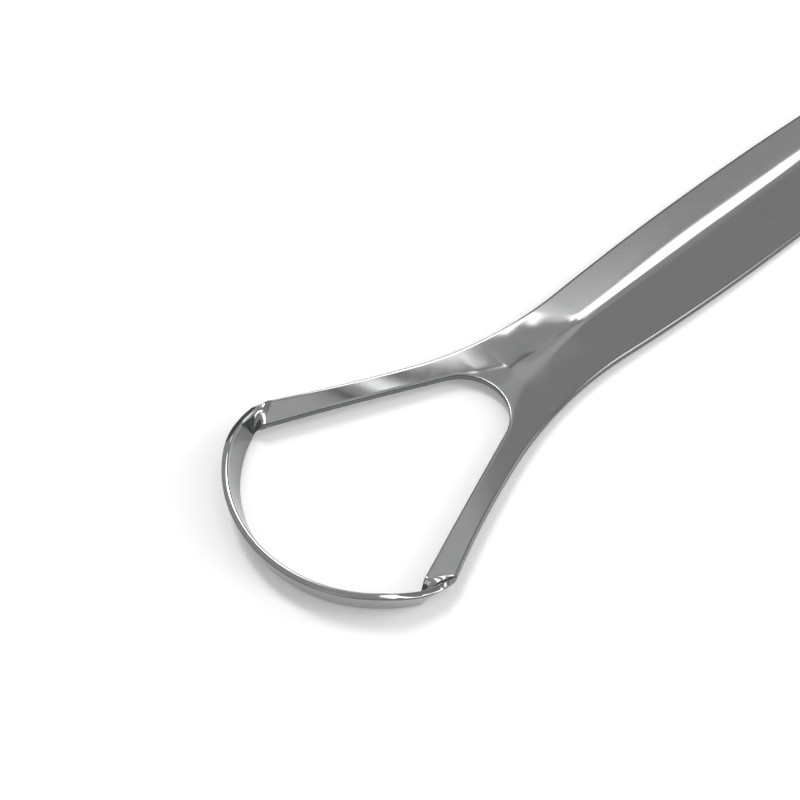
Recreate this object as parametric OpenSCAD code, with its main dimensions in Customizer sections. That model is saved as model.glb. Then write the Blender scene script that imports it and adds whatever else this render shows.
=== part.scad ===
// Tongue scraper: one strip of stainless steel sheet, cut to a Y, pressed and polished.
// The blade is a band that stands on its lower edge round the tip of the head.
// At each shoulder the band folds flat and becomes an arm, and the arms join in a
// neck that carries the roof-shaped handle.
// Along x the part runs from the tip of the blade to the end of the handle.
// It lies as it does on a table, with the underside of blade and handle at z = 0.
// Left is the side of positive y.

/* [Sheet] */
// Thickness of the sheet
sheet = 1.1; // [0.8:0.1:1.3]
// Length from the tip of the blade to the end of the handle
total_length = 150; // [140:1:165]

/* [Head] */
// Width of the head over its two shoulders
head_width = 43.5; // [39:0.5:47]
// Radius of the rim between the tip's wide curve and the shoulder
side_radius = 16; // [14:0.5:18]
// Radius of the rim round each shoulder
corner_radius = 6; // [5:0.5:8]
// Turn of the rim from the tip to the end of its wide curve, in degrees
tip_turn = 52; // [48:1:55]
// Turn of the rim from there to the shoulder, in degrees
side_turn = 30; // [27:1:33]
// Height of the rim above the scraping edge at the tip
blade_height = 5.1; // [4.4:0.1:6]
// Length over which the rim falls from that height to the arms
rim_run = 13; // [11:0.5:15]
// Lean of the blade from upright, inward at the scraping edge, in degrees
blade_lean = 17.5; // [10:0.5:26]
// Direction of the rim where the fold at the shoulder ends, in degrees
fold_turn = 19.5; // [15:0.5:21]
// Distance by which the fold's inner end lies ahead of its outer end
fold_skew = 3.6; // [3:0.1:4]

/* [Arms] */
// Width of an arm at the shoulder
arm_width = 4.2; // [3.8:0.1:4.8]
// Angle of an arm's outer edge to the centre line at the shoulder, in degrees
splay_angle = 27.5; // [26:0.5:31]
// Angle of an arm's straight inner edge to the centre line, in degrees
gap_angle = 22.9; // [22:0.1:24]
// Radius of the gap where the arms join
crotch_radius = 7.4; // [6.6:0.2:8]
// Slope of the sheet across the end of the gap, in degrees
crotch_slope = 4; // [1:1:8]
// Height by which the arms lift the head
lift_height = 0.9; // [0.4:0.1:1.6]
// Distance from the end of the gap back to where that lift starts
lift_lead = 8.5; // [6:0.5:10]

/* [Neck] */
// Width at the neck
neck_width = 15.7; // [14:0.1:16.5]
// Radius of the hollow at each side of the neck
neck_radius = 65; // [55:1:80]
// Turn of the edge from the neck to the arm's wider curve, in degrees
neck_turn = 20; // [17:1:22]
// Height of the edges of the neck above the table
neck_clearance = 0.6; // [0.4:0.1:1]

/* [Handle] */
// Growth in width from the neck to the widest part of the handle
swell_width = 2.3; // [1.6:0.1:4]
// Radius of that swell
swell_radius = 460; // [300:10:520]
// Radius of the round end
end_radius = 7; // [5:0.5:7.5]
// Slope of each wing of the roof-shaped section, in degrees
wing_slope = 14; // [8:1:18]
// Radius over the ridge between the wings
ridge_radius = 9; // [6:0.5:12]

/* [Hidden] */

// Steps of each swept stretch
shoulder_steps = 20;
arm_steps = 22;
fan_steps = 10;
yoke_steps = 18;
blade_steps = 60;
strip_steps = 4;
ridge_steps = 4;
wing_steps = 5;
outline_steps = 24;
end_steps = 20;
// Share of the fold over which its direction is measured
fold_step = 0.0001;
// Overrun of the solids that are cut back
overrun = 2;

// Helpers
function rise(r, d) = sqrt(r * r - d * d);
function ease(u) = u * u * (3 - 2 * u);
function share_between(x, a, b) = max(0, min(1, (x - a) / (b - a)));
function blend(a, b, u) = a + (b - a) * u;
function square_in(p, angle, width) = p + width * [sin(angle), -cos(angle)];

half_head = head_width / 2;
half_neck = neck_width / 2;
half_handle = half_neck + swell_width / 2;

// Plan of the rim. A place on it is named by the rim's direction there: minus the splay angle
// where an arm starts, 0 where the head is widest and 90 at the tip.
side_end = 90 - tip_turn;
corner_end = side_end - side_turn;
tip_radius = (half_head - side_radius * (cos(corner_end) - cos(side_end))
    - corner_radius * (1 - cos(corner_end))) / cos(side_end);
side_x = tip_radius * (1 - sin(side_end));
side_y = tip_radius * cos(side_end);
wide_x = side_x + side_radius * (sin(side_end) - sin(corner_end)) + corner_radius * sin(corner_end);
function rim_point(angle) =
    angle > side_end ? tip_radius * [1 - sin(angle), cos(angle)]
    : angle > corner_end ? [side_x, side_y] + side_radius * [sin(side_end) - sin(angle), cos(angle) - cos(side_end)]
    : [wide_x, half_head] - corner_radius * [sin(angle), 1 - cos(angle)];

// Plan of the outer edge behind the shoulder, as arcs that run on from each other
shoulder_point = rim_point(-splay_angle);
shoulder_x = shoulder_point[0];
bend_y = half_neck + neck_radius * (1 - cos(neck_turn));
arm_radius = (shoulder_point[1] - bend_y) / (cos(neck_turn) - cos(splay_angle));
arm_centre_x = shoulder_x + arm_radius * sin(splay_angle);
arm_centre_y = shoulder_point[1] + arm_radius * cos(splay_angle);
bend_x = arm_centre_x - arm_radius * sin(neck_turn);
neck_x = bend_x + neck_radius * sin(neck_turn);
swell_turn = acos(1 - (half_handle - half_neck) / (neck_radius + swell_radius));
swell_x = neck_x + neck_radius * sin(swell_turn);
full_x = swell_x + swell_radius * sin(swell_turn);
end_x = total_length - end_radius;
taper_run = end_x - full_x;
taper_radius = (taper_run * taper_run + half_handle * half_handle - end_radius * end_radius)
    / (2 * (half_handle - end_radius));
cap_turn = asin(taper_run / (taper_radius - end_radius));
cap_x = end_x + end_radius * sin(cap_turn);

// Half width of the outline there
function half_width(x) =
    x < bend_x ? arm_centre_y - rise(arm_radius, arm_centre_x - x)
    : x < swell_x ? half_neck + neck_radius - rise(neck_radius, x - neck_x)
    : x < full_x ? half_handle - swell_radius + rise(swell_radius, full_x - x)
    : x < cap_x ? half_handle - taper_radius + rise(taper_radius, x - full_x)
    : rise(end_radius, min(x - end_x, end_radius));

// Direction of the outline there, in degrees from the centre line
function edge_angle(x) =
    x < bend_x ? -asin((arm_centre_x - x) / arm_radius)
    : asin((x - neck_x) / neck_radius);

// The gap between the arms: straight sides, an arm's width in from each shoulder, and a round
// end that touches them
gap_normal = [sin(gap_angle), cos(gap_angle)];
gap_corner = square_in(shoulder_point, -splay_angle, arm_width);
gap_x = (gap_corner * gap_normal - crotch_radius) / sin(gap_angle);
crotch_reach = gap_x + crotch_radius;
function gap_point(x) = [x, (gap_corner * gap_normal - x * sin(gap_angle)) / cos(gap_angle)];

// Heights. The section is a roof with a round ridge, and flattens along the arms.
function slope_at(x) =
    x < crotch_reach ? crotch_slope * share_between(x, shoulder_x, crotch_reach)
    : blend(crotch_slope, wing_slope, ease(share_between(x, crotch_reach, neck_x)));
function roof_drop(radius, slope, y) =
    y < radius * sin(slope) ? radius - rise(radius, y)
    : radius * (1 - cos(slope)) + (y - radius * sin(slope)) * tan(slope);
neck_edge_z = neck_clearance + sheet / cos(wing_slope);
ridge_height = neck_edge_z + roof_drop(ridge_radius, wing_slope, half_neck);

// The handle falls a little, so that its edges meet the table where its taper starts to raise
// them. The place and the fall depend on each other and settle in a few rounds.
function fall_to(x) =
    (neck_clearance - (half_width(x) - half_neck) * tan(wing_slope)) / (x - neck_x);
function lowest_x(fall) = full_x + taper_radius * sin(atan(fall / tan(wing_slope)));
function settled_fall(fall, rounds) =
    rounds == 0 ? fall : settled_fall(fall_to(lowest_x(fall)), rounds - 1);
handle_fall = settled_fall(fall_to(full_x), 6);

// The arms lift the head, and are level over the last arm's width before the shoulder
lift_start = crotch_reach + lift_lead;
lift_end = shoulder_x + arm_width;
function edge_z(x) =
    neck_edge_z + (neck_x - max(x, lift_end)) * handle_fall
    + lift_height * ease(share_between(x, lift_start, lift_end));
// Top and underside of the sheet, from a place on the outer edge and a distance y from the middle
function peak_z(x) = edge_z(x) + roof_drop(ridge_radius, slope_at(x), half_width(x));
function top_z(x, y) = peak_z(x) - roof_drop(ridge_radius, slope_at(x), y);
function under_z(x, y) = peak_z(x) - sheet - roof_drop(ridge_radius - sheet, slope_at(x), y);

// A closed skin over a list of rings. Each ring runs along the top of the sheet and back
// along the underside, so that point i lies opposite point count - 1 - i.
module loft(rings) {
    count = len(rings[0]);
    last = len(rings) - 1;
    function cap(first, flip) = [
        for (i = [0 : count / 2 - 2])
            let (a = first + i, b = a + 1, c = first + count - 2 - i, d = c + 1)
            each flip ? [[a, c, b], [a, d, c]] : [[a, b, c], [a, c, d]]
    ];
    points = [for (ring = rings) each ring];
    walls = [
        for (k = [0 : last - 1], i = [0 : count - 1])
            let (j = (i + 1) % count)
            each [
                [k * count + i, k * count + j, (k + 1) * count + j],
                [k * count + i, (k + 1) * count + j, (k + 1) * count + i]
            ]
    ];
    faces = concat(cap(0, true), walls, cap(last * count, false));
    polyhedron(points = points, faces = faces, convexity = 4);
}

// Ring of a straight section, from the four corners of the strip
function strip_ring(outer_top, inner_top, inner_under, outer_under) = concat(
    [for (i = [0 : strip_steps]) blend(outer_top, inner_top, i / strip_steps)],
    [for (i = [strip_steps : -1 : 0]) blend(outer_under, inner_under, i / strip_steps)]
);

// Section of an arm, from a point on the outer edge to one on the gap
function arm_ring(outer, inner) =
    let (places = [for (i = [0 : strip_steps]) blend(outer, inner, i / strip_steps)])
    concat(
        [for (p = places) [p[0], p[1], top_z(outer[0], p[1])]],
        [for (i = [strip_steps : -1 : 0])
            let (p = places[i]) [p[0], p[1], under_z(outer[0], p[1])]]
    );

// The sections fan round the end of the gap, then follow its straight side. There they slew,
// until the last one lies along the start of the fold.
touch_x = gap_x + crotch_radius * sin(gap_angle);
touch_y = crotch_radius * cos(gap_angle);
fan_x = touch_x - (half_width(touch_x) - touch_y) * tan(edge_angle(touch_x));
fold_x = shoulder_x - fold_skew;
function edge_point(x) = [x, half_width(x)];
arm_rings = concat(
    [for (k = [0 : fan_steps - 1])
        let (turn = (90 - gap_angle) * k / fan_steps)
        arm_ring(
            edge_point(blend(crotch_reach, fan_x, k / fan_steps)),
            [gap_x, 0] + crotch_radius * [cos(turn), sin(turn)])],
    [for (k = [0 : arm_steps])
        arm_ring(
            edge_point(blend(fan_x, shoulder_x, k / arm_steps)),
            gap_point(blend(touch_x, fold_x, k / arm_steps)))]
);

// The rim's top corner falls from the blade's full height to the arms
arm_top_z = edge_z(shoulder_x);
blade_top_z = blade_height + sheet * sin(blade_lean);
function rim_z(x) =
    blend(arm_top_z, blade_top_z, ease(share_between(x, shoulder_x, shoulder_x - rim_run)));

// Section of the blade, square to the rim. The angle runs on past 90 to the right side.
function blade_reach(high) = sheet * cos(blade_lean) + high * tan(blade_lean);
function blade_ring(angle) =
    let (
        side = angle > 90 ? -1 : 1,
        turn = side > 0 ? angle : 180 - angle,
        rail = rim_point(turn),
        high = rim_z(rail[0]),
        low = high - sheet * sin(blade_lean),
        corners = [
            [sheet * cos(blade_lean), high], [blade_reach(high), 0],
            [low * tan(blade_lean), 0], [0, low]
        ],
        placed_corners = [for (c = corners)
            let (p = square_in(rail, turn, c[0])) [p[0], side * p[1], c[1]]]
    )
    strip_ring(placed_corners[0], placed_corners[1], placed_corners[2], placed_corners[3]);

// The fold. Its outer edge runs round the shoulder on the rim, while its inner edge drops in a
// shorter way from the side of the gap to the scraping edge. The sheet lies along the straight
// line between the two, and its thickness is laid off square to the surface they span.
fold_start = gap_point(fold_x);
fold_rim = rim_point(fold_turn);
fold_end = square_in(fold_rim, fold_turn, blade_reach(rim_z(fold_rim[0])));
fold_drop = top_z(shoulder_x, fold_start[1]);
function fold_heading(u) = blend(-splay_angle, fold_turn, u);
function outer_edge(u) = let (rail = rim_point(fold_heading(u))) [rail[0], rail[1], rim_z(rail[0])];
function inner_edge(u) =
    let (p = blend(fold_start, fold_end, u)) [p[0], p[1], fold_drop * (1 - ease(u))];
function unit(v) = v / norm(v);
function upward(v) = v[2] < 0 ? -v : v;
// Normal of the blade's inner side where the rim runs in that direction
function blade_normal(turn) =
    [sin(turn) * cos(blade_lean), -cos(turn) * cos(blade_lean), sin(blade_lean)];
function fold_normal(along, across, turn, share) =
    unit(blend(unit(upward(cross(along, across))), blade_normal(turn), share));
// A point that would lie under the table is taken back up along the sheet
function above_table(p, along) = p[2] < 0 ? p - along * p[2] / along[2] : p;
function shoulder_ring(u) =
    let (
        before = max(0, u - fold_step),
        after = min(1, u + fold_step),
        outer = outer_edge(u),
        inner = inner_edge(u),
        across = inner - outer,
        turn = fold_heading(u),
        outer_normal = fold_normal(
            outer_edge(after) - outer_edge(before), across, turn, 1 - (1 - u) * (1 - u)),
        inner_normal = fold_normal(inner_edge(after) - inner_edge(before), across, turn, u),
        outer_under = [outer[0], outer[1], outer[2] - sheet * outer_normal[2]]
    )
    strip_ring(
        outer_under + sheet * outer_normal,
        inner,
        above_table(inner - sheet * inner_normal, -across),
        outer_under
    );

// Distances from the middle at which a roof-shaped section is drawn: round the ridge, then out
// along the wing, and the same on the other side
function roof_places(radius, slope, half) =
    let (out = concat(
        [for (i = [0 : ridge_steps]) radius * sin(slope * i / ridge_steps)],
        [for (i = [1 : wing_steps]) blend(radius * sin(slope), half, i / wing_steps)]))
    concat([for (i = [len(out) - 1 : -1 : 1]) -out[i]], out);

// Full section of the neck, from edge to edge
function yoke_ring(x) =
    let (
        w = half_width(x),
        over = roof_places(ridge_radius, slope_at(x), w),
        below = roof_places(ridge_radius - sheet, slope_at(x), w)
    )
    concat(
        [for (y = over) [x, y, top_z(x, abs(y))]],
        [for (i = [len(below) - 1 : -1 : 0]) [x, below[i], under_z(x, abs(below[i]))]]
    );

// Roof-shaped section of the handle: two flat wings and the round ridge between them
module handle_section() {
    over = roof_places(ridge_radius, wing_slope, half_handle + overrun);
    below = roof_places(ridge_radius - sheet, wing_slope, half_handle + overrun);
    polygon(concat(
        [for (y = over) [y, -roof_drop(ridge_radius, wing_slope, abs(y))]],
        [for (i = [len(below) - 1 : -1 : 0])
            [below[i], -sheet - roof_drop(ridge_radius - sheet, wing_slope, abs(below[i]))]]
    ));
}

handle_outline = concat(
    [for (k = [0 : outline_steps]) edge_point(blend(neck_x, full_x, k / outline_steps))],
    [for (k = [1 : outline_steps]) edge_point(blend(full_x, cap_x, k / outline_steps))],
    [for (k = [1 : end_steps])
        let (turn = (90 - cap_turn) * (1 - k / end_steps))
        [end_x, 0] + end_radius * [cos(turn), sin(turn)]]
);

// The middle of the part's length lies at x = 0
module placed(side = 1) {
    translate([-total_length / 2, 0, 0])
    mirror([0, side < 0 ? 1 : 0, 0])
    children();
}

module blade() {
    color("silver")
    placed()
    loft([for (k = [0 : blade_steps]) blade_ring(blend(fold_turn, 180 - fold_turn, k / blade_steps))]);
}

module shoulder(side) {
    placed(side)
    loft([for (k = [0 : shoulder_steps]) shoulder_ring(k / shoulder_steps)]);
}

module left_shoulder() {
    color("silver") shoulder(1);
}

module right_shoulder() {
    color("silver") shoulder(-1);
}

module left_arm() {
    color("lightgray") placed(1) loft(arm_rings);
}

module right_arm() {
    color("lightgray") placed(-1) loft(arm_rings);
}

module yoke() {
    color("gainsboro")
    placed()
    loft([for (k = [0 : yoke_steps]) yoke_ring(blend(crotch_reach, neck_x, k / yoke_steps))]);
}

module handle() {
    color("darkgray")
    placed()
    intersection() {
        linear_extrude(ridge_height + overrun)
        polygon(concat(handle_outline,
            [for (k = [len(handle_outline) - 1 : -1 : 0]) [handle_outline[k][0], -handle_outline[k][1]]]));
        translate([neck_x, 0, ridge_height])
        rotate([0, atan(handle_fall), 0])
        translate([-overrun, 0, 0])
        rotate([90, 0, 90])
        linear_extrude(total_length) handle_section();
    }
}

blade();
left_shoulder();
right_shoulder();
left_arm();
right_arm();
yoke();
handle();
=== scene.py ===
from math import acos, asin, atan, atan2, cos, degrees, exp, log, radians, sin, sqrt, tan

import bmesh
import bpy
from mathutils import Matrix, Vector


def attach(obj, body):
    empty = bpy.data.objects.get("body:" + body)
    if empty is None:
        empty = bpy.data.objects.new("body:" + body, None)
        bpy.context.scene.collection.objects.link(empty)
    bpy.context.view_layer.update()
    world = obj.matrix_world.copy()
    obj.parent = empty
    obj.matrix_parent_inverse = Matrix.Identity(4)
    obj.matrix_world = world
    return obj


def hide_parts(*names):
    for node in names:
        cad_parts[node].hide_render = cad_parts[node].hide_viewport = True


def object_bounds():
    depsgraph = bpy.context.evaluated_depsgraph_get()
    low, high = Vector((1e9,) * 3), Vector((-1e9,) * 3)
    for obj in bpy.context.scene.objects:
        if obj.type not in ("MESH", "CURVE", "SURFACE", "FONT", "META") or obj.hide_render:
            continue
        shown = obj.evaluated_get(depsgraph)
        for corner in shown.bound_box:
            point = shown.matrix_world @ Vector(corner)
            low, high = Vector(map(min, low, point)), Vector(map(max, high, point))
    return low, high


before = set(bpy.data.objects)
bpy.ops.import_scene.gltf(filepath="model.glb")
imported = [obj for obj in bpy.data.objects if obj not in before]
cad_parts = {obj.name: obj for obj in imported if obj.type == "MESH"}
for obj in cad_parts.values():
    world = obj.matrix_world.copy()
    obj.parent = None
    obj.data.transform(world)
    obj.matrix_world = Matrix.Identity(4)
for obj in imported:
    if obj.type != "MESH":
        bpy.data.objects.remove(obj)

CAD_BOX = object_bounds()
MM = 0.001

# The tool is one pressing, so its looks are made as one smooth, seamless skin. The sizes are in
# millimetres and the angles in degrees. Along x the sizes run from the tip of the blade, as on the
# drawing of the part, and the left half is drawn and mirrored.
LENGTH = (CAD_BOX[1][0] - CAD_BOX[0][0]) / MM

# Sheet
SHEET = 1.1
EDGE_RADIUS = 0.25

# Head. Each half of the rim is three arcs: tip, side and corner. A turn is the angle of an arc.
HEAD_WIDTH = 43.5
SIDE_RADIUS = 16
CORNER_RADIUS = 6
TIP_TURN = 52
SIDE_TURN = 30
BLADE_HEIGHT = 5.1
RIM_RUN = 13
BLADE_LEAN = 17.5

# Fold between arm and blade. It ends where the rim has that turn, and starts nearer to the tip
# beside the gap than on the rim. Half way its outer edge is lifted and its inner edge bulges.
FOLD_TURN = 19.5
FOLD_SKEW = 3.6
FOLD_LIFT = 0.5
FOLD_BULGE = 0.35

# Arms, which splay from the neck and close on the round end of the gap, the crotch
ARM_WIDTH = 4.2
SPLAY_ANGLE = 27.5
GAP_ANGLE = 22.9
CROTCH_RADIUS = 7.4
CROTCH_SLOPE = 4
LIFT_HEIGHT = 0.9
LIFT_LEAD = 8.5

# Neck and handle. The handle is a roof of two wings, with a web in front of its ridge.
NECK_WIDTH = 15.7
NECK_RADIUS = 65
NECK_TURN = 20
NECK_CLEARANCE = 0.6
SWELL_WIDTH = 2.3
SWELL_RADIUS = 460
END_RADIUS = 7
WING_SLOPE = 14
RIDGE_SPREAD_FRONT = 0.67
RIDGE_SPREAD_REAR = 1.2
RIDGE_REAR_X = 93
WING_START_X = 51.5
WING_END_X = 66.5
WEB_HALF_WIDTH = 5.2
WEB_LEAD = 1.8
WEB_TIP_X = 55.7
WEB_SLOPE = 1.5
WEB_SPREAD = 0.3

# Steps of the skin
EDGE_STEPS = 4
ACROSS_STEPS = 10
COLLAR_STEP = 7
ARM_STEPS = 40
SHOULDER_STEPS = 48
BLADE_STEPS = 120
CROTCH_STEPS = 48
MORPH_STEPS = 14
HANDLE_STEPS = 110
END_STEPS = 16


# Helpers
def sine(angle):
    return sin(radians(angle))


def cosine(angle):
    return cos(radians(angle))


def tangent(angle):
    return tan(radians(angle))


def rise(radius, distance):
    return sqrt(max(0, radius * radius - distance * distance))


def ease(u):
    return u * u * (3 - 2 * u)


def blend(a, b, u):
    return a + (b - a) * u


def share_between(x, a, b):
    return max(0, min(1, (x - a) / (b - a)))


def direction(angle):
    return Vector((cosine(angle), sine(angle)))


def square_in(point, angle, width):
    return point + width * Vector((sine(angle), -cosine(angle)))


def on_height(point, z):
    return Vector((point[0], point[1], z))


HALF_HEAD = HEAD_WIDTH / 2
HALF_NECK = NECK_WIDTH / 2
HALF_HANDLE = HALF_NECK + SWELL_WIDTH / 2

# Plan of the rim. A place on it is named by the rim's direction there: minus the splay angle
# where an arm starts, 0 where the head is widest and 90 at the tip.
SIDE_END = 90 - TIP_TURN
CORNER_END = SIDE_END - SIDE_TURN
SIDE_SPAN = SIDE_RADIUS * (cosine(CORNER_END) - cosine(SIDE_END))
CORNER_SPAN = CORNER_RADIUS * (1 - cosine(CORNER_END))
TIP_RADIUS = (HALF_HEAD - SIDE_SPAN - CORNER_SPAN) / cosine(SIDE_END)
SIDE_POINT = TIP_RADIUS * Vector((1 - sine(SIDE_END), cosine(SIDE_END)))
WIDE_X = SIDE_POINT[0] + SIDE_RADIUS * (sine(SIDE_END) - sine(CORNER_END)) + CORNER_RADIUS * sine(CORNER_END)


def rim_point(angle):
    if angle > SIDE_END:
        return TIP_RADIUS * Vector((1 - sine(angle), cosine(angle)))
    if angle > CORNER_END:
        turned = Vector((sine(SIDE_END) - sine(angle), cosine(angle) - cosine(SIDE_END)))
        return SIDE_POINT + SIDE_RADIUS * turned
    return Vector((WIDE_X, HALF_HEAD)) - CORNER_RADIUS * Vector((sine(angle), 1 - cosine(angle)))


# Plan of the outer edge behind the shoulder, as arcs that run on from each other
SHOULDER_POINT = rim_point(-SPLAY_ANGLE)
SHOULDER_X = SHOULDER_POINT[0]
BEND_Y = HALF_NECK + NECK_RADIUS * (1 - cosine(NECK_TURN))
ARM_RADIUS = (SHOULDER_POINT[1] - BEND_Y) / (cosine(NECK_TURN) - cosine(SPLAY_ANGLE))
ARM_CENTRE_X = SHOULDER_X + ARM_RADIUS * sine(SPLAY_ANGLE)
ARM_CENTRE_Y = SHOULDER_POINT[1] + ARM_RADIUS * cosine(SPLAY_ANGLE)
BEND_X = ARM_CENTRE_X - ARM_RADIUS * sine(NECK_TURN)
NECK_X = BEND_X + NECK_RADIUS * sine(NECK_TURN)
SWELL_TURN = degrees(acos(1 - (HALF_HANDLE - HALF_NECK) / (NECK_RADIUS + SWELL_RADIUS)))
SWELL_X = NECK_X + NECK_RADIUS * sine(SWELL_TURN)
FULL_X = SWELL_X + SWELL_RADIUS * sine(SWELL_TURN)
END_X = LENGTH - END_RADIUS
TAPER_RUN = END_X - FULL_X
TAPER_RADIUS = (TAPER_RUN ** 2 + HALF_HANDLE ** 2 - END_RADIUS ** 2) / (2 * (HALF_HANDLE - END_RADIUS))
CAP_TURN = degrees(asin(TAPER_RUN / (TAPER_RADIUS - END_RADIUS)))
CAP_X = END_X + END_RADIUS * sine(CAP_TURN)


def half_width(x):
    if x < BEND_X:
        return ARM_CENTRE_Y - rise(ARM_RADIUS, ARM_CENTRE_X - x)
    if x < SWELL_X:
        return HALF_NECK + NECK_RADIUS - rise(NECK_RADIUS, x - NECK_X)
    if x < FULL_X:
        return HALF_HANDLE - SWELL_RADIUS + rise(SWELL_RADIUS, FULL_X - x)
    if x < CAP_X:
        return HALF_HANDLE - TAPER_RADIUS + rise(TAPER_RADIUS, x - FULL_X)
    return rise(END_RADIUS, min(x - END_X, END_RADIUS))


# Direction of the outline there, in degrees from the centre line, outward towards the end
def edge_heading(x):
    if x < BEND_X:
        return -degrees(asin((ARM_CENTRE_X - x) / ARM_RADIUS))
    if x < SWELL_X:
        return degrees(asin((x - NECK_X) / NECK_RADIUS))
    if x < FULL_X:
        return degrees(asin((FULL_X - x) / SWELL_RADIUS))
    if x < CAP_X:
        return -degrees(asin((x - FULL_X) / TAPER_RADIUS))
    return -degrees(asin(min(1, (x - END_X) / END_RADIUS)))


# The gap between the arms
GAP_CORNER = square_in(SHOULDER_POINT, -SPLAY_ANGLE, ARM_WIDTH)
GAP_OFFSET = GAP_CORNER[0] * sine(GAP_ANGLE) + GAP_CORNER[1] * cosine(GAP_ANGLE)
GAP_X = (GAP_OFFSET - CROTCH_RADIUS) / sine(GAP_ANGLE)
CROTCH_REACH = GAP_X + CROTCH_RADIUS


def gap_point(x):
    return Vector((x, (GAP_OFFSET - x * sine(GAP_ANGLE)) / cosine(GAP_ANGLE)))


# Heights. The section is a roof with a round ridge, and flattens along the arms.
def slope_at(x):
    if x < CROTCH_REACH:
        return CROTCH_SLOPE * share_between(x, SHOULDER_X, CROTCH_REACH)
    return blend(CROTCH_SLOPE, WING_SLOPE, ease(share_between(x, WING_START_X, WING_END_X)))


# The ridge is sharp at its front end and rounder towards the end of the handle
def ridge_spread(x):
    front = blend(WEB_SPREAD, RIDGE_SPREAD_FRONT, ease(share_between(x, WEB_TIP_X - WEB_HALF_WIDTH, NECK_X)))
    return blend(front, RIDGE_SPREAD_REAR, ease(share_between(x, NECK_X, RIDGE_REAR_X)))


# Where the handle ends the ridge parts in two creases, with a flatter web between them
def crease_y(x):
    return WEB_HALF_WIDTH * (1 - share_between(x, CROTCH_REACH - WEB_LEAD, WEB_TIP_X))


# A bank falls by 1 for each unit across, and starts softly on both sides of the middle
def bank(y, start, spread):
    left = log(1 + exp((y - start) / spread))
    right = log(1 + exp((-y - start) / spread))
    return spread * (left + right - 2 * log(1 + exp(-start / spread)))


def roof_drop(x, y):
    spread = ridge_spread(x)
    outside = bank(y, crease_y(x), spread)
    inside = bank(y, 0, spread) - outside
    return tangent(slope_at(x)) * outside + tangent(WEB_SLOPE) * inside


NECK_EDGE_Z = NECK_CLEARANCE + SHEET / cosine(WING_SLOPE)


# The handle falls so far that its edges meet the table where its taper starts to raise them
def fall_to(x):
    return (NECK_CLEARANCE - (half_width(x) - HALF_NECK) * tangent(WING_SLOPE)) / (x - NECK_X)


def settled_fall(fall, rounds):
    if rounds == 0:
        return fall
    lowest_x = FULL_X + TAPER_RADIUS * sin(atan(fall / tangent(WING_SLOPE)))
    return settled_fall(fall_to(lowest_x), rounds - 1)


SETTLE_ROUNDS = 6
HANDLE_FALL = settled_fall(fall_to(FULL_X), SETTLE_ROUNDS)
LIFT_START = CROTCH_REACH + LIFT_LEAD
LIFT_END = SHOULDER_X + ARM_WIDTH


def edge_z(x):
    lift = LIFT_HEIGHT * ease(share_between(x, LIFT_START, LIFT_END))
    return NECK_EDGE_Z + (NECK_X - max(x, LIFT_END)) * HANDLE_FALL + lift


def peak_z(x):
    if x > NECK_X:
        return NECK_EDGE_Z + roof_drop(x, HALF_NECK) - (x - NECK_X) * HANDLE_FALL
    return edge_z(x) + roof_drop(x, half_width(x))


def top_z(x, y):
    return peak_z(x) - roof_drop(x, abs(y))


def under_z(x, y):
    return top_z(x, y) - SHEET / cosine(slope_at(x))


# Sections of the flat part, from a row of places that runs over the top. The ends that lie on
# an edge of the sheet are rounded, towards the next place or towards a given direction.
EDGE_TURNS = [90 * k / EDGE_STEPS for k in range(EDGE_STEPS + 1)]


def rounded_end(edge, inward):
    over = []
    below = []
    for turn in EDGE_TURNS:
        place = edge + inward * EDGE_RADIUS * (1 - sine(turn))
        drop = EDGE_RADIUS * (1 - cosine(turn))
        over.append(on_height(place, top_z(*place) - drop))
        below.append(on_height(place, under_z(*place) + drop))
    return over + below[::-1]


def flat_top(places):
    return [on_height(p, top_z(*p)) for p in places]


def flat_underside(places):
    return [on_height(p, under_z(*p)) for p in places]


def places_across(outer, inner):
    inward = (inner - outer).normalized()
    first = outer + inward * EDGE_RADIUS
    last = inner - inward * EDGE_RADIUS
    return [blend(first, last, k / ACROSS_STEPS) for k in range(ACROSS_STEPS + 1)]


def arm_ring(outer, inner):
    inward = (inner - outer).normalized()
    between = places_across(outer, inner)[1:-1]
    outer_round = rounded_end(outer, inward)
    inner_round = rounded_end(inner, -inward)
    return flat_top(between) + inner_round + flat_underside(between[::-1]) + outer_round[::-1]


# Section of the folded and standing part, from the four corners of the strip
def strip_ring(outer_top, inner_top, inner_under, outer_under):
    corners = [outer_top, inner_top, inner_under, outer_under]

    def corner_arc(k):
        corner = corners[k]
        back = (corners[k - 1] - corner).normalized()
        ahead = (corners[(k + 1) % 4] - corner).normalized()
        return [
            corner + back * EDGE_RADIUS * (1 - sine(turn)) + ahead * EDGE_RADIUS * (1 - cosine(turn))
            for turn in EDGE_TURNS
        ]

    arcs = [corner_arc(k) for k in range(4)]
    over = [blend(arcs[0][-1], arcs[1][0], k / ACROSS_STEPS) for k in range(1, ACROSS_STEPS)]
    below = [blend(arcs[2][-1], arcs[3][0], k / ACROSS_STEPS) for k in range(1, ACROSS_STEPS)]
    return over + arcs[1] + arcs[2] + below + arcs[3] + arcs[0]


# Plan of an arm's sections, from the end of the fold to where the round end of the gap starts
TOUCH_X = GAP_X + CROTCH_RADIUS * sine(GAP_ANGLE)
TOUCH_Y = CROTCH_RADIUS * cosine(GAP_ANGLE)
FAN_X = TOUCH_X - (half_width(TOUCH_X) - TOUCH_Y) * tangent(edge_heading(TOUCH_X))
FOLD_X = SHOULDER_X - FOLD_SKEW


def edge_point(x):
    return Vector((x, half_width(x)))


def arm_ends(u):
    return edge_point(blend(FAN_X, SHOULDER_X, u)), gap_point(blend(TOUCH_X, FOLD_X, u))


# The rim's top corner falls from the blade's full height to the arms
ARM_TOP_Z = edge_z(SHOULDER_X)
BLADE_TOP_Z = BLADE_HEIGHT + SHEET * sine(BLADE_LEAN)


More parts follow.
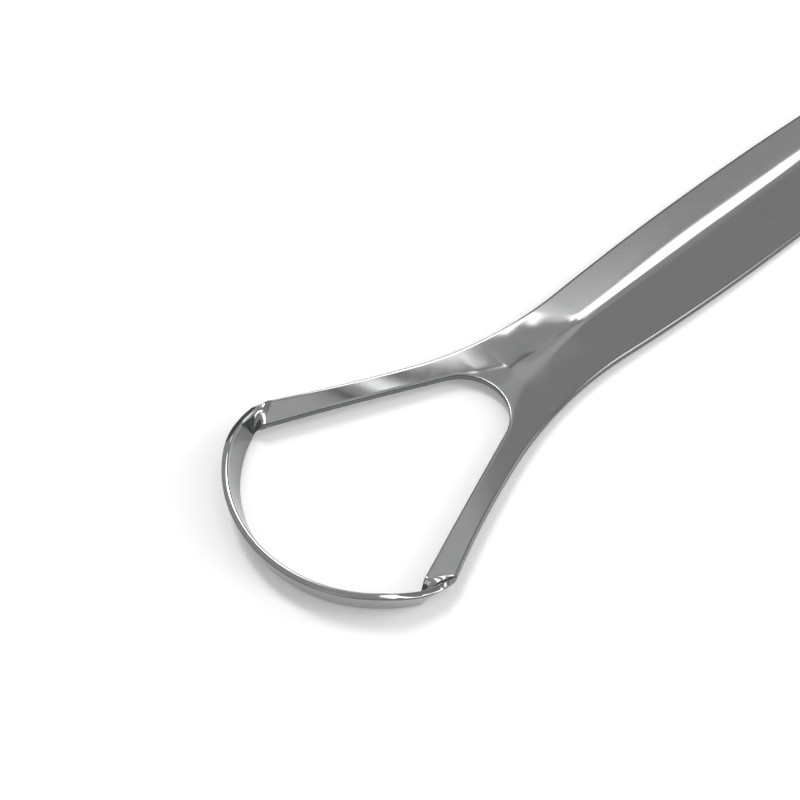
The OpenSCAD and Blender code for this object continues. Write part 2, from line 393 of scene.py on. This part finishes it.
def rim_z(x):
    return blend(ARM_TOP_Z, BLADE_TOP_Z, ease(share_between(x, SHOULDER_X, SHOULDER_X - RIM_RUN)))


def blade_reach(high):
    return SHEET * cosine(BLADE_LEAN) + high * tangent(BLADE_LEAN)


# Section of the blade, square to the rim. The angle runs on past 90 to the right side.
def blade_ring(angle):
    side = -1 if angle > 90 else 1
    turn = min(angle, 180 - angle)
    rail = rim_point(turn)
    high = rim_z(rail[0])
    low = high - SHEET * sine(BLADE_LEAN)

    def corner(width, z):
        p = square_in(rail, turn, width)
        return Vector((p[0], side * p[1], z))

    return strip_ring(
        corner(SHEET * cosine(BLADE_LEAN), high),
        corner(blade_reach(high), 0),
        corner(low * tangent(BLADE_LEAN), 0),
        corner(0, low),
    )


# The fold. Its outer edge runs round the shoulder on the rim, while its inner edge drops in a
# shorter way from the side of the gap to the scraping edge. u runs from 0 at the arm to 1 at the
# blade, and the step along it is the one over which an edge's direction is taken.
FOLD_STEP = 0.0001
FOLD_START = gap_point(FOLD_X)
FOLD_RIM = rim_point(FOLD_TURN)
FOLD_END = square_in(FOLD_RIM, FOLD_TURN, blade_reach(rim_z(FOLD_RIM[0])))
FOLD_DROP = top_z(SHOULDER_X, FOLD_START[1])


def fold_heading(u):
    return blend(-SPLAY_ANGLE, FOLD_TURN, u)


def outer_edge(u):
    rail = rim_point(fold_heading(u))
    return on_height(rail, rim_z(rail[0]))


def inner_edge(u):
    bulge = FOLD_BULGE * sine(180 * u)
    place = blend(FOLD_START, FOLD_END, u) + Vector((-bulge, bulge))
    return on_height(place, FOLD_DROP * (1 - ease(u)))


# Normal of the blade's inner side where the rim runs in that direction
def blade_normal(turn):
    flat = cosine(BLADE_LEAN)
    return Vector((sine(turn) * flat, -cosine(turn) * flat, sine(BLADE_LEAN)))


def fold_normal(edge, across, u):
    along = edge(min(1, u + FOLD_STEP)) - edge(max(0, u - FOLD_STEP))
    square = along.cross(across).normalized()
    if square[2] < 0:
        square.negate()
    return blend(square, blade_normal(fold_heading(u)), ease(u)).normalized()


def shoulder_ring(u):
    outer = outer_edge(u)
    inner = inner_edge(u)
    across = inner - outer
    outer_normal = fold_normal(outer_edge, across, u)
    outer_under = on_height(outer, outer[2] - SHEET * outer_normal[2] + FOLD_LIFT * sine(180 * u))
    inner_under = inner - SHEET * fold_normal(inner_edge, across, u)
    if inner_under[2] < 0:
        inner_under -= across * inner_under[2] / across[2]
    return strip_ring(outer_under + SHEET * outer_normal, inner, inner_under, outer_under)


# The neck and the handle. The first section follows the two arms and the collar round the end
# of the gap, and the sections then straighten until they lie square to the centre line.
STRAIGHT_X = CROTCH_REACH + ARM_WIDTH


def collar_rows():
    outer, inner = arm_ends(0)
    rows = places_across(outer, inner)
    reach = (rows[COLLAR_STEP] - inner).length
    centre = Vector((GAP_X, 0))
    fan_turn = degrees(atan2(outer[1] - inner[1], outer[0] - inner[0]))
    spokes = []
    for k in range(CROTCH_STEPS + 1):
        turn = 1 - 2 * k / CROTCH_STEPS
        edge = centre + CROTCH_RADIUS * direction((90 - GAP_ANGLE) * turn)
        ray = direction(fan_turn * turn)
        first = edge + EDGE_RADIUS * ray
        last = edge + reach * ray
        count = ACROSS_STEPS - COLLAR_STEP
        spokes.append((edge, ray, [blend(last, first, i / count) for i in range(count)]))
    return rows[:COLLAR_STEP + 1], spokes


def mirrored(points):
    return [Vector((p[0], -p[1], *p[2:])) for p in points]


WING_ROW, SPOKES = collar_rows()
FIRST_ROW = WING_ROW + [spoke[2][0] for spoke in SPOKES[1:-1]] + mirrored(WING_ROW[::-1])


def collar_ring(spoke):
    edge, ray, places = spoke
    return flat_top(places) + rounded_end(edge, ray) + flat_underside(places[::-1])


def straight_row(outer, inward):
    end = outer + inward * EDGE_RADIUS
    return [Vector((end[0], end[1] * p[1] / FIRST_ROW[0][1])) for p in FIRST_ROW]


def edge_inward(x):
    heading = edge_heading(x)
    return Vector((sine(heading), -cosine(heading)))


def body_ring(row, outer, inward):
    left = rounded_end(outer, inward)
    between = row[1:-1]
    return flat_top(between) + mirrored(left) + flat_underside(between[::-1]) + left[::-1]


def morph_ring(u):
    outer = edge_point(blend(FAN_X, STRAIGHT_X, u))
    inward = edge_inward(outer[0])
    if u == 0:
        inward = (gap_point(TOUCH_X) - outer).normalized()
    last_outer = edge_point(STRAIGHT_X)
    last = straight_row(last_outer, edge_inward(STRAIGHT_X))
    shift = outer + inward * EDGE_RADIUS - blend(FIRST_ROW[0], last[0], u)
    row = []
    for first_place, last_place in zip(FIRST_ROW, last):
        weight = first_place[1] / FIRST_ROW[0][1]
        place = blend(first_place, last_place, u)
        row.append(place + Vector((shift[0] * abs(weight), shift[1] * weight)))
    return body_ring(row, outer, inward)


def handle_ring(x):
    outer = edge_point(x)
    inward = edge_inward(x)
    return body_ring(straight_row(outer, inward), outer, inward)


def handle_stations():
    along = [blend(STRAIGHT_X, CAP_X, k / HANDLE_STEPS) for k in range(1, HANDLE_STEPS + 1)]
    turns = [blend(CAP_TURN, 90, k / END_STEPS) for k in range(1, END_STEPS + 1)]
    return along + [END_X + END_RADIUS * sine(turn) for turn in turns]


# Skins. Each place on a section is marked from 0 to 1: 0 on the polished faces and 1 on the
# sheared edges. A mark makes the steel rougher and paints it darker, as painted shade that darkens
# what it reflects. The top of the rim is left polished, but the corner round its outside gets
# painted shade, and the inner side of the blade is marked 0.7, as painted shade that darkens its
# reflection of the white floor. CUT_ROUND has one mark for each place on a rounded corner, and an
# edge of the sheet has two such corners.
CUT_ROUND = [0.15, 0.75, 1, 1, 1]
CUT_EDGE = CUT_ROUND + CUT_ROUND[::-1]
# Marks round the rim top: painted shade on the corner round its outside, which darkens its reflection
RIM_LAND_SHADE = [0, 1, 1, 0.3, 0.1, 0.1, 0, 0, 0, 0]
# Painted shade on the inner side of the blade, which darkens its reflection of the white floor
INNER_PAINTED_SHADE = 0.7


def dull_and_shade_marks(count, last_edge, inner_side):
    faces = (count - len(CUT_EDGE) - len(last_edge)) // 2
    first_edge = [max(inner_side, mark) for mark in CUT_ROUND] + CUT_ROUND[::-1]
    return [inner_side] * faces + first_edge + [0] * faces + last_edge


def add_skin(vertices, faces, rings, closed):
    count = len(rings[0])
    start = len(vertices)
    for ring in rings:
        vertices.extend(ring)
    for k in range(len(rings) - 1):
        for i in range(count if closed else count - 1):
            j = (i + 1) % count
            low = start + k * count
            high = low + count
            faces.append((low + i, low + j, high + j, high + i))


# Round the head: an arm, a fold, the blade, and the other fold and arm
def loop_rings():
    arm = [arm_ring(*arm_ends(k / ARM_STEPS)) for k in range(ARM_STEPS)]
    fold = [shoulder_ring(k / SHOULDER_STEPS) for k in range(SHOULDER_STEPS)]
    turns = [blend(FOLD_TURN, 180 - FOLD_TURN, k / BLADE_STEPS) for k in range(BLADE_STEPS + 1)]
    half_loop = arm + fold
    return half_loop + [blade_ring(turn) for turn in turns] + [mirrored(ring) for ring in half_loop[::-1]]


def loop_marks(count):
    arm = dull_and_shade_marks(count, CUT_EDGE, 0)
    blade = dull_and_shade_marks(count, RIM_LAND_SHADE, INNER_PAINTED_SHADE)
    shares = [ease(k / SHOULDER_STEPS) for k in range(SHOULDER_STEPS)]
    half_loop = [arm] * ARM_STEPS + [[blend(a, b, share) for a, b in zip(arm, blade)] for share in shares]
    return half_loop + [blade] * (BLADE_STEPS + 1) + half_loop[::-1]


def scraper_skin():
    vertices = []
    faces = []
    dullness_and_shade = []
    loop = loop_rings()
    add_skin(vertices, faces, loop, True)
    for marks in loop_marks(len(loop[0])):
        dullness_and_shade.extend(marks)
    body = [morph_ring(k / MORPH_STEPS) for k in range(MORPH_STEPS + 1)]
    body += [handle_ring(x) for x in handle_stations()]
    add_skin(vertices, faces, body, True)
    dullness_and_shade.extend(dull_and_shade_marks(len(body[0]), CUT_EDGE, 0) * len(body))
    collar = [collar_ring(spoke) for spoke in SPOKES]
    add_skin(vertices, faces, collar, False)
    dullness_and_shade.extend(dull_and_shade_marks(len(collar[0]), [], 0) * len(collar))
    return vertices, faces, dullness_and_shade


# Skins are joined where their places lie closer than this
WELD = 0.003


def add_scraper(name, material):
    vertices, faces, dullness_and_shade = scraper_skin()
    middle = Vector((LENGTH / 2, 0, 0))
    mesh = bpy.data.meshes.new(name)
    mesh.from_pydata([(v - middle) * MM for v in vertices], [], faces)
    mesh.attributes.new("dull_and_painted_shade", "FLOAT", "POINT").data.foreach_set("value", dullness_and_shade)
    shape = bmesh.new()
    shape.from_mesh(mesh)
    bmesh.ops.remove_doubles(shape, verts=shape.verts, dist=WELD * MM)
    bmesh.ops.recalc_face_normals(shape, faces=shape.faces)
    shape.to_mesh(mesh)
    shape.free()
    mesh.shade_smooth()
    mesh.materials.append(material)
    piece = bpy.data.objects.new(name, mesh)
    bpy.context.collection.objects.link(piece)
    return piece


# Materials
def colour(code):
    def linear(part):
        value = int(part, 16) / 255
        return value / 12.92 if value <= 0.04045 else ((value + 0.055) / 1.055) ** 2.4
    return (linear(code[0:2]), linear(code[2:4]), linear(code[4:6]), 1)


# Adds a node with its settings, sets or links its inputs, and gives back its outputs
def add_node(tree, kind, inputs, **settings):
    node = tree.nodes.new(kind)
    for name, value in settings.items():
        setattr(node, name, value)
    for name, value in inputs.items():
        if isinstance(value, bpy.types.NodeSocket):
            tree.links.new(value, node.inputs[name])
        else:
            node.inputs[name].default_value = value
    return node.outputs


# Sockets of a mix of colours, which share their names with those of a mix of plain values
COLOUR_A = 6
COLOUR_B = 7
COLOUR_MIXED = 2

# The wear comes in patches about 2 mm wide. The waves are about 7 mm apart and 0.006 mm deep.
POLISHED_TONES = ("b0b1b2", "b8b8b7")
POLISHED_ROUGHNESS = (0.05, 0.09)
# Painted shade: the darker tone that the marked places take in place of the polished tones
PAINTED_SHADE_TONE = "6c6d6f"
SHEARED_ROUGHNESS = 0.2
WEAR_SIZE = 2 * MM
WAVE_SIZE = 7 * MM
WAVE_DEPTH = 0.006 * MM


# Stainless sheet, pressed and then tumbled to a mirror polish. It shows its surroundings sharply,
# a little softened by patches of fine wear, and bent by the faint waves that the pressing and
# tumbling leave. The sheared edges are not polished, so they are duller. They, the outer corner of
# the rim and the inner side of the blade are also painted darker, as painted shade that darkens
# their reflections.
def polished_stainless_steel():
    material = bpy.data.materials.new("polished_stainless_steel")
    material.use_nodes = True
    tree = material.node_tree
    steel = tree.nodes["Principled BSDF"]
    steel.inputs["Metallic"].default_value = 1
    place = add_node(tree, "ShaderNodeTexCoord", {})["Object"]
    dull_and_shade_mask = add_node(tree, "ShaderNodeAttribute", {}, attribute_name="dull_and_painted_shade")["Fac"]
    waves = add_node(tree, "ShaderNodeTexNoise", {"Vector": place, "Scale": 1 / WAVE_SIZE, "Detail": 1})[0]
    wear = add_node(tree, "ShaderNodeTexNoise", {"Vector": place, "Scale": 1 / WEAR_SIZE, "Detail": 4})[0]
    face = add_node(
        tree, "ShaderNodeMix",
        {0: wear, COLOUR_A: colour(POLISHED_TONES[0]), COLOUR_B: colour(POLISHED_TONES[1])},
        data_type="RGBA",
    )[COLOUR_MIXED]
    # Painted shade: the marked places are painted in the darker tone
    tone = add_node(
        tree, "ShaderNodeMix", {0: dull_and_shade_mask, COLOUR_A: face, COLOUR_B: colour(PAINTED_SHADE_TONE)}, data_type="RGBA",
    )[COLOUR_MIXED]
    polish = add_node(
        tree, "ShaderNodeMapRange",
        {"Value": wear, "To Min": POLISHED_ROUGHNESS[0], "To Max": POLISHED_ROUGHNESS[1]},
    )[0]
    gloss = add_node(tree, "ShaderNodeMix", {"Factor": dull_and_shade_mask, "A": polish, "B": SHEARED_ROUGHNESS})[0]
    bump = add_node(tree, "ShaderNodeBump", {"Height": waves, "Strength": 1, "Distance": WAVE_DEPTH})[0]
    tree.links.new(tone, steel.inputs["Base Color"])
    tree.links.new(gloss, steel.inputs["Roughness"])
    tree.links.new(bump, steel.inputs["Normal"])
    return material


scraper = add_scraper("pressed_steel_strip", polished_stainless_steel())
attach(scraper, "root")
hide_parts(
    "blade", "left_shoulder", "right_shoulder", "left_arm", "right_arm", "yoke", "handle",
)

# The grain of the board is drawn 1 mm wide, which is coarser than paper grain, so that it shows
BOARD_TONES = ("f4f4f4", "f7f7f7")
BOARD_ROUGHNESS = 0.9
BOARD_SHINE = 0.2
BOARD_GLOW = 0.12
GRAIN_SIZE = 1 * MM


# Floor, a matt white board. A faint grain keeps it from being one flat value, and a little glow
# for the camera and for mirrors takes it to plain white where no shadow falls.
def matt_white_board():
    material = bpy.data.materials.new("matt_white_board")
    material.use_nodes = True
    tree = material.node_tree
    board = tree.nodes["Principled BSDF"]
    board.inputs["Roughness"].default_value = BOARD_ROUGHNESS
    board.inputs["Specular IOR Level"].default_value = BOARD_SHINE
    board.inputs["Emission Color"].default_value = colour("ffffff")
    place = add_node(tree, "ShaderNodeTexCoord", {})["Object"]
    grain = add_node(tree, "ShaderNodeTexNoise", {"Vector": place, "Scale": 1 / GRAIN_SIZE, "Detail": 2})[0]
    tone = add_node(
        tree, "ShaderNodeMix",
        {0: grain, COLOUR_A: colour(BOARD_TONES[0]), COLOUR_B: colour(BOARD_TONES[1])},
        data_type="RGBA",
    )[COLOUR_MIXED]
    ray = add_node(tree, "ShaderNodeLightPath", {})
    seen = 0
    for kind in ("Is Camera Ray", "Is Glossy Ray", "Is Transmission Ray"):
        seen = add_node(tree, "ShaderNodeMath", {0: seen, 1: ray[kind]}, operation="MAXIMUM")[0]
    glow = add_node(tree, "ShaderNodeMath", {0: seen, 1: BOARD_GLOW}, operation="MULTIPLY")[0]
    tree.links.new(tone, board.inputs["Base Color"])
    tree.links.new(glow, board.inputs["Emission Strength"])
    return material


# Half the width of the floor, in metres
FLOOR_HALF = 3
FLOOR_CORNERS = [(FLOOR_HALF * x, FLOOR_HALF * y, 0) for x, y in [(-1, -1), (1, -1), (1, 1), (-1, 1)]]

floor_mesh = bpy.data.meshes.new("floor")
floor_mesh.from_pydata(FLOOR_CORNERS, [], [(0, 1, 2, 3)])
floor_mesh.materials.append(matt_white_board())
floor = bpy.data.objects.new("floor", floor_mesh)
bpy.context.collection.objects.link(floor)


# Studio. The room is seen in the steel, so its lights are laid out by compass and height, in
# degrees: the compass is 0 at the end of the handle and 90 on the left of the tool. Each patch
# leans over by its lean for every degree of height above its foot, and a later patch covers an
# earlier one. Its soft edges are those of the compass and of the height.
ROOM_LIGHT = 0.48
PATCHES = [
    # Darker wall that the right wing and arm show
    dict(light=0.37, compass=(-40, 35), height=(36, 72), lean=0, soft=(6, 6)),
    # Paler ceiling over the end of the arms
    dict(light=0.64, compass=(36, 56), height=(51.5, 76), lean=0, soft=(5, 2)),
    # Dark frame above the strip lamp
    dict(light=0.1, compass=(46.8, 62), height=(49.2, 50.2), lean=0, soft=(0.3, 0.3)),
    # Dark side of the strip lamp
    dict(light=0.25, compass=(44.8, 46.5), height=(43, 45.8), lean=0, soft=(0.3, 0.3)),
    # Glow below the strip lamp, which fades along the left wing
    dict(light=1.1, compass=(55.5, 66), height=(29.5, 36), lean=0, soft=(2.5, 1.5)),
    # Corner of the strip lamp, which makes the spot on the left arm
    dict(light=2.4, compass=(45.6, 47.5), height=(45.9, 47.6), lean=0, soft=(0.3, 0.4)),
    # Strip lamp, which makes the line along the ridge
    dict(light=3.4, compass=(46.5, 58), height=(33.6, 43.2), lean=-0.5, soft=(0.8, 0.8)),
    # Its far corner, which makes the spot where the left wing starts
    dict(light=2.6, compass=(57, 59.5), height=(33.5, 38.5), lean=0, soft=(1, 1.2)),
    # Low dark card, which draws the outline of the left edge
    dict(light=0.12, compass=(40, 80), height=(-4, 24), lean=0, soft=(2, 2)),
    # Leaning lamp, which makes the line along the right edge
    dict(light=4.4, compass=(-80, -68), height=(-6, 68), lean=0.45, soft=(1.5, 2)),
    # Low lamp beside it, which makes the line along the outer edge of the right arm
    dict(light=4.4, compass=(-37, -17), height=(16, 37), lean=0, soft=(2, 2)),
    # Ceiling lamp, which makes the bright land on top of the rim at the right
    dict(light=2.8, compass=(-75, -13), height=(65, 83), lean=0, soft=(4, 2)),
    # Soft lamp in front of the tip, which shows the ridge from behind
    dict(light=0.95, compass=(-174, -152), height=(24, 62), lean=0, soft=(4, 6)),
    # Large soft lamp on the left, which lights the floor and casts the shadows
    dict(light=17, compass=(69, 90), height=(50, 73), lean=0, soft=(5, 5)),
]


# Covers the light so far with a patch, inside its two ends of compass and of height
def add_patch(tree, light, compass, height, patch):
    raised = add_node(tree, "ShaderNodeMath", {0: height, 1: patch["height"][0]}, operation="SUBTRACT")[0]
    shift = add_node(tree, "ShaderNodeMath", {0: raised, 1: patch["lean"]}, operation="MULTIPLY")[0]
    across = add_node(tree, "ShaderNodeMath", {0: compass, 1: shift}, operation="SUBTRACT")[0]
    inside = 1
    for place, ends, soft in zip((across, height), (patch["compass"], patch["height"]), patch["soft"]):
        for end, before, after in zip(ends, (0, 1), (1, 0)):
            step = add_node(
                tree, "ShaderNodeMapRange",
                {
                    "Value": place, "From Min": end - soft, "From Max": end + soft,
                    "To Min": before, "To Max": after,
                },
                interpolation_type="SMOOTHSTEP",
            )[0]
            inside = add_node(tree, "ShaderNodeMath", {0: inside, 1: step}, operation="MULTIPLY")[0]
    gain = add_node(tree, "ShaderNodeMath", {0: patch["light"], 1: light}, operation="SUBTRACT")[0]
    return add_node(tree, "ShaderNodeMath", {0: inside, 1: gain, 2: light}, operation="MULTIPLY_ADD")[0]


def studio_world():
    world = bpy.data.worlds.new("studio")
    world.use_nodes = True
    tree = world.node_tree
    look = add_node(tree, "ShaderNodeTexCoord", {})["Generated"]
    x, y, z = add_node(tree, "ShaderNodeSeparateXYZ", {"Vector": look})
    around = add_node(tree, "ShaderNodeMath", {0: y, 1: x}, operation="ARCTAN2")[0]
    compass = add_node(tree, "ShaderNodeMath", {0: around}, operation="DEGREES")[0]
    up = add_node(tree, "ShaderNodeMath", {0: z}, operation="ARCSINE")[0]
    height = add_node(tree, "ShaderNodeMath", {0: up}, operation="DEGREES")[0]
    light = ROOM_LIGHT
    for patch in PATCHES:
        light = add_patch(tree, light, compass, height, patch)
    sky = tree.nodes["Background"]
    sky.inputs["Color"].default_value = colour("ffffff")
    tree.links.new(light, sky.inputs["Strength"])
    return world


bpy.context.scene.world = studio_world()


# Camera, solved from the outline of the tool in the photo. Its distances are in metres, and the
# lens and sensor in millimetres.
VIEW_AZIMUTH = -41.37
VIEW_ELEVATION = 56.49
VIEW_DISTANCE = 0.4129
VIEW_TARGET = Vector((-0.055, 0, 0))
SENSOR = 36
LENS = 123.75
SHIFT_X = 0.0490
SHIFT_Y = 0.1219
NEAREST_SEEN = 0.01


def add_camera():
    back = Vector((
        sine(VIEW_AZIMUTH) * cosine(VIEW_ELEVATION),
        -cosine(VIEW_AZIMUTH) * cosine(VIEW_ELEVATION),
        sine(VIEW_ELEVATION),
    ))
    right = Vector((cosine(VIEW_AZIMUTH), sine(VIEW_AZIMUTH), 0))
    up = back.cross(right)
    data = bpy.data.cameras.new("camera")
    data.sensor_width = SENSOR
    data.lens = LENS
    data.shift_x = SHIFT_X
    data.shift_y = SHIFT_Y
    data.clip_start = NEAREST_SEEN
    camera = bpy.data.objects.new("camera", data)
    place = VIEW_TARGET + back * VIEW_DISTANCE
    turned = Matrix((right, up, back)).transposed()
    camera.matrix_world = Matrix.Translation(place) @ turned.to_4x4()
    bpy.context.collection.objects.link(camera)
    bpy.context.scene.camera = camera


add_camera()
bpy.context.scene.view_settings.view_transform = "Standard"
